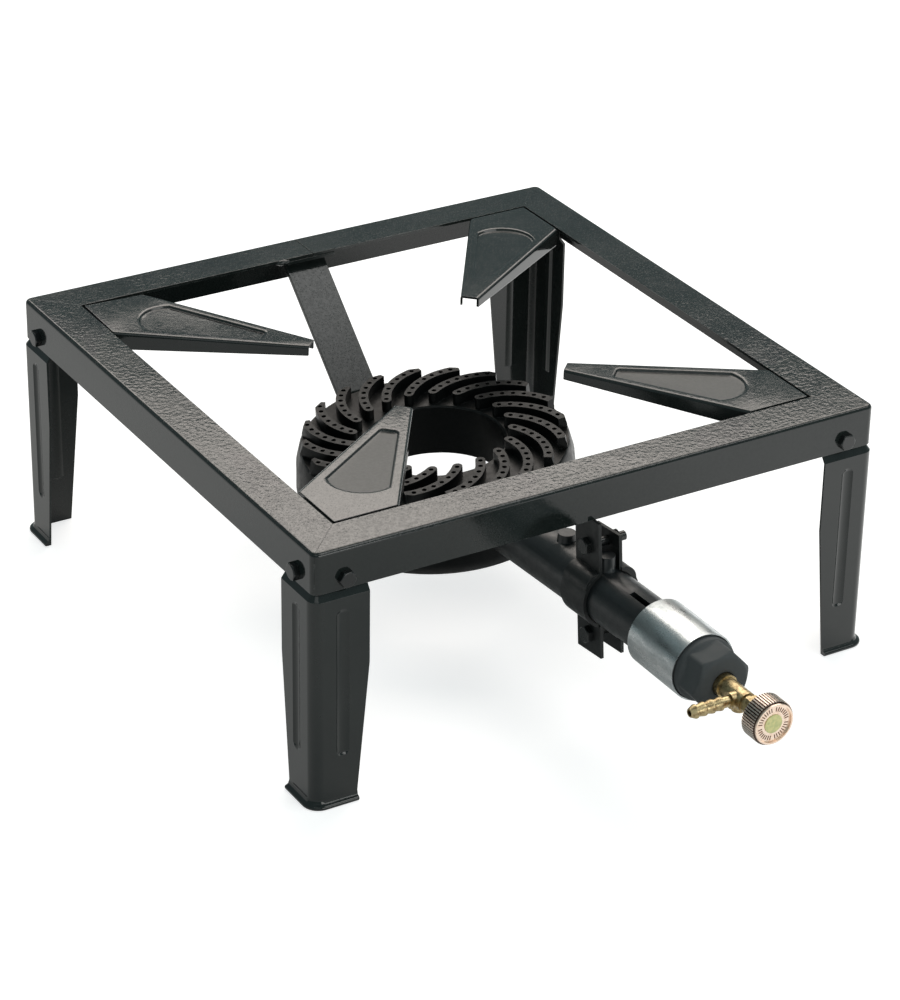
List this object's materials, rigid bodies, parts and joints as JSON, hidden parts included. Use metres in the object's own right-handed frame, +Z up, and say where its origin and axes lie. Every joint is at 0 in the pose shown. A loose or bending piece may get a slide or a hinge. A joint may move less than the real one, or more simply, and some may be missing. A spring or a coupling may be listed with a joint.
{
  "type": "cast iron gas burner",
  "caption": "Low square steel stand with corner pot supports around a cast iron ring burner, with a sliding air shutter and a brass gas valve at the front.",
  "frame": {"origin": "on the floor, under the middle of the whole object's box", "axes": "+Z up, -Y to the front, where the gas tube, valve and knob point, +X to the right"},
  "size_m": [0.41, 0.586, 0.173],
  "materials": {
    "stand_paint": "black gloss paint over pressed steel",
    "bolt_paint": "black painted hexagon fasteners",
    "burner_iron": "black coated sand casting",
    "shutter_zinc": "bright zinc plating",
    "cap_black": "satin black",
    "valve_brass": "cast and machined brass",
    "knob_copper": "copper coloured, knurled",
    "screw_steel": "plain steel",
    "seal_rubber": "matt",
    "disc_plastic": "pale yellow-green enamel"
  },
  "bodies": {
    "root": {"rail_front": "stand_paint", "rail_left": "stand_paint", "rail_right": "stand_paint", "rail_rear_left": "stand_paint", "rail_rear_right": "stand_paint", "splice_plate": "stand_paint", "leg_front_left": "stand_paint", "leg_front_right": "stand_paint", "leg_rear_left": "stand_paint", "leg_rear_right": "stand_paint", "leg_bolts": "bolt_paint", "leg_nuts": "bolt_paint", "support_front_left": "stand_paint", "support_front_right": "stand_paint", "support_rear_left": "stand_paint", "support_rear_right": "stand_paint", "burner_casting": "burner_iron", "clamp_left": "stand_paint", "clamp_right": "stand_paint", "clamp_bolts": "bolt_paint", "clamp_nuts": "bolt_paint", "burner_strap": "stand_paint", "strap_bolt": "bolt_paint", "nozzle_cap": "cap_black", "injector_jet": "valve_brass", "valve_body": "valve_brass", "hose_barb": "valve_brass", "gland_nut": "valve_brass", "spindle_seal": "seal_rubber"},
    "shutter": {"air_shutter": "shutter_zinc"},
    "spindle": {"valve_spindle": "valve_brass"},
    "knob": {"knob": "knob_copper", "knob_screw": "screw_steel", "knob_disc": "disc_plastic"}
  },
  "joints": [
    {"name": "shutter_slide", "type": "slide", "parent": "root", "child": "shutter", "axis": [0, 1, 0], "range_m": [-0.02, 0.022]},
    {"name": "spindle_slide", "type": "slide", "parent": "root", "child": "spindle", "axis": [0, -1, 0], "range_m": [0, 0.0015]},
    {"name": "knob_turn", "type": "hinge", "parent": "spindle", "child": "knob", "pos_m": [0, -0.285, 0.0972], "axis": [0, -1, 0], "range_deg": [0, 540]}
  ],
  "couplings": [
    {"joint": "knob_turn", "follows": "spindle_slide", "rad_per_m": 6283.2}
  ]
}
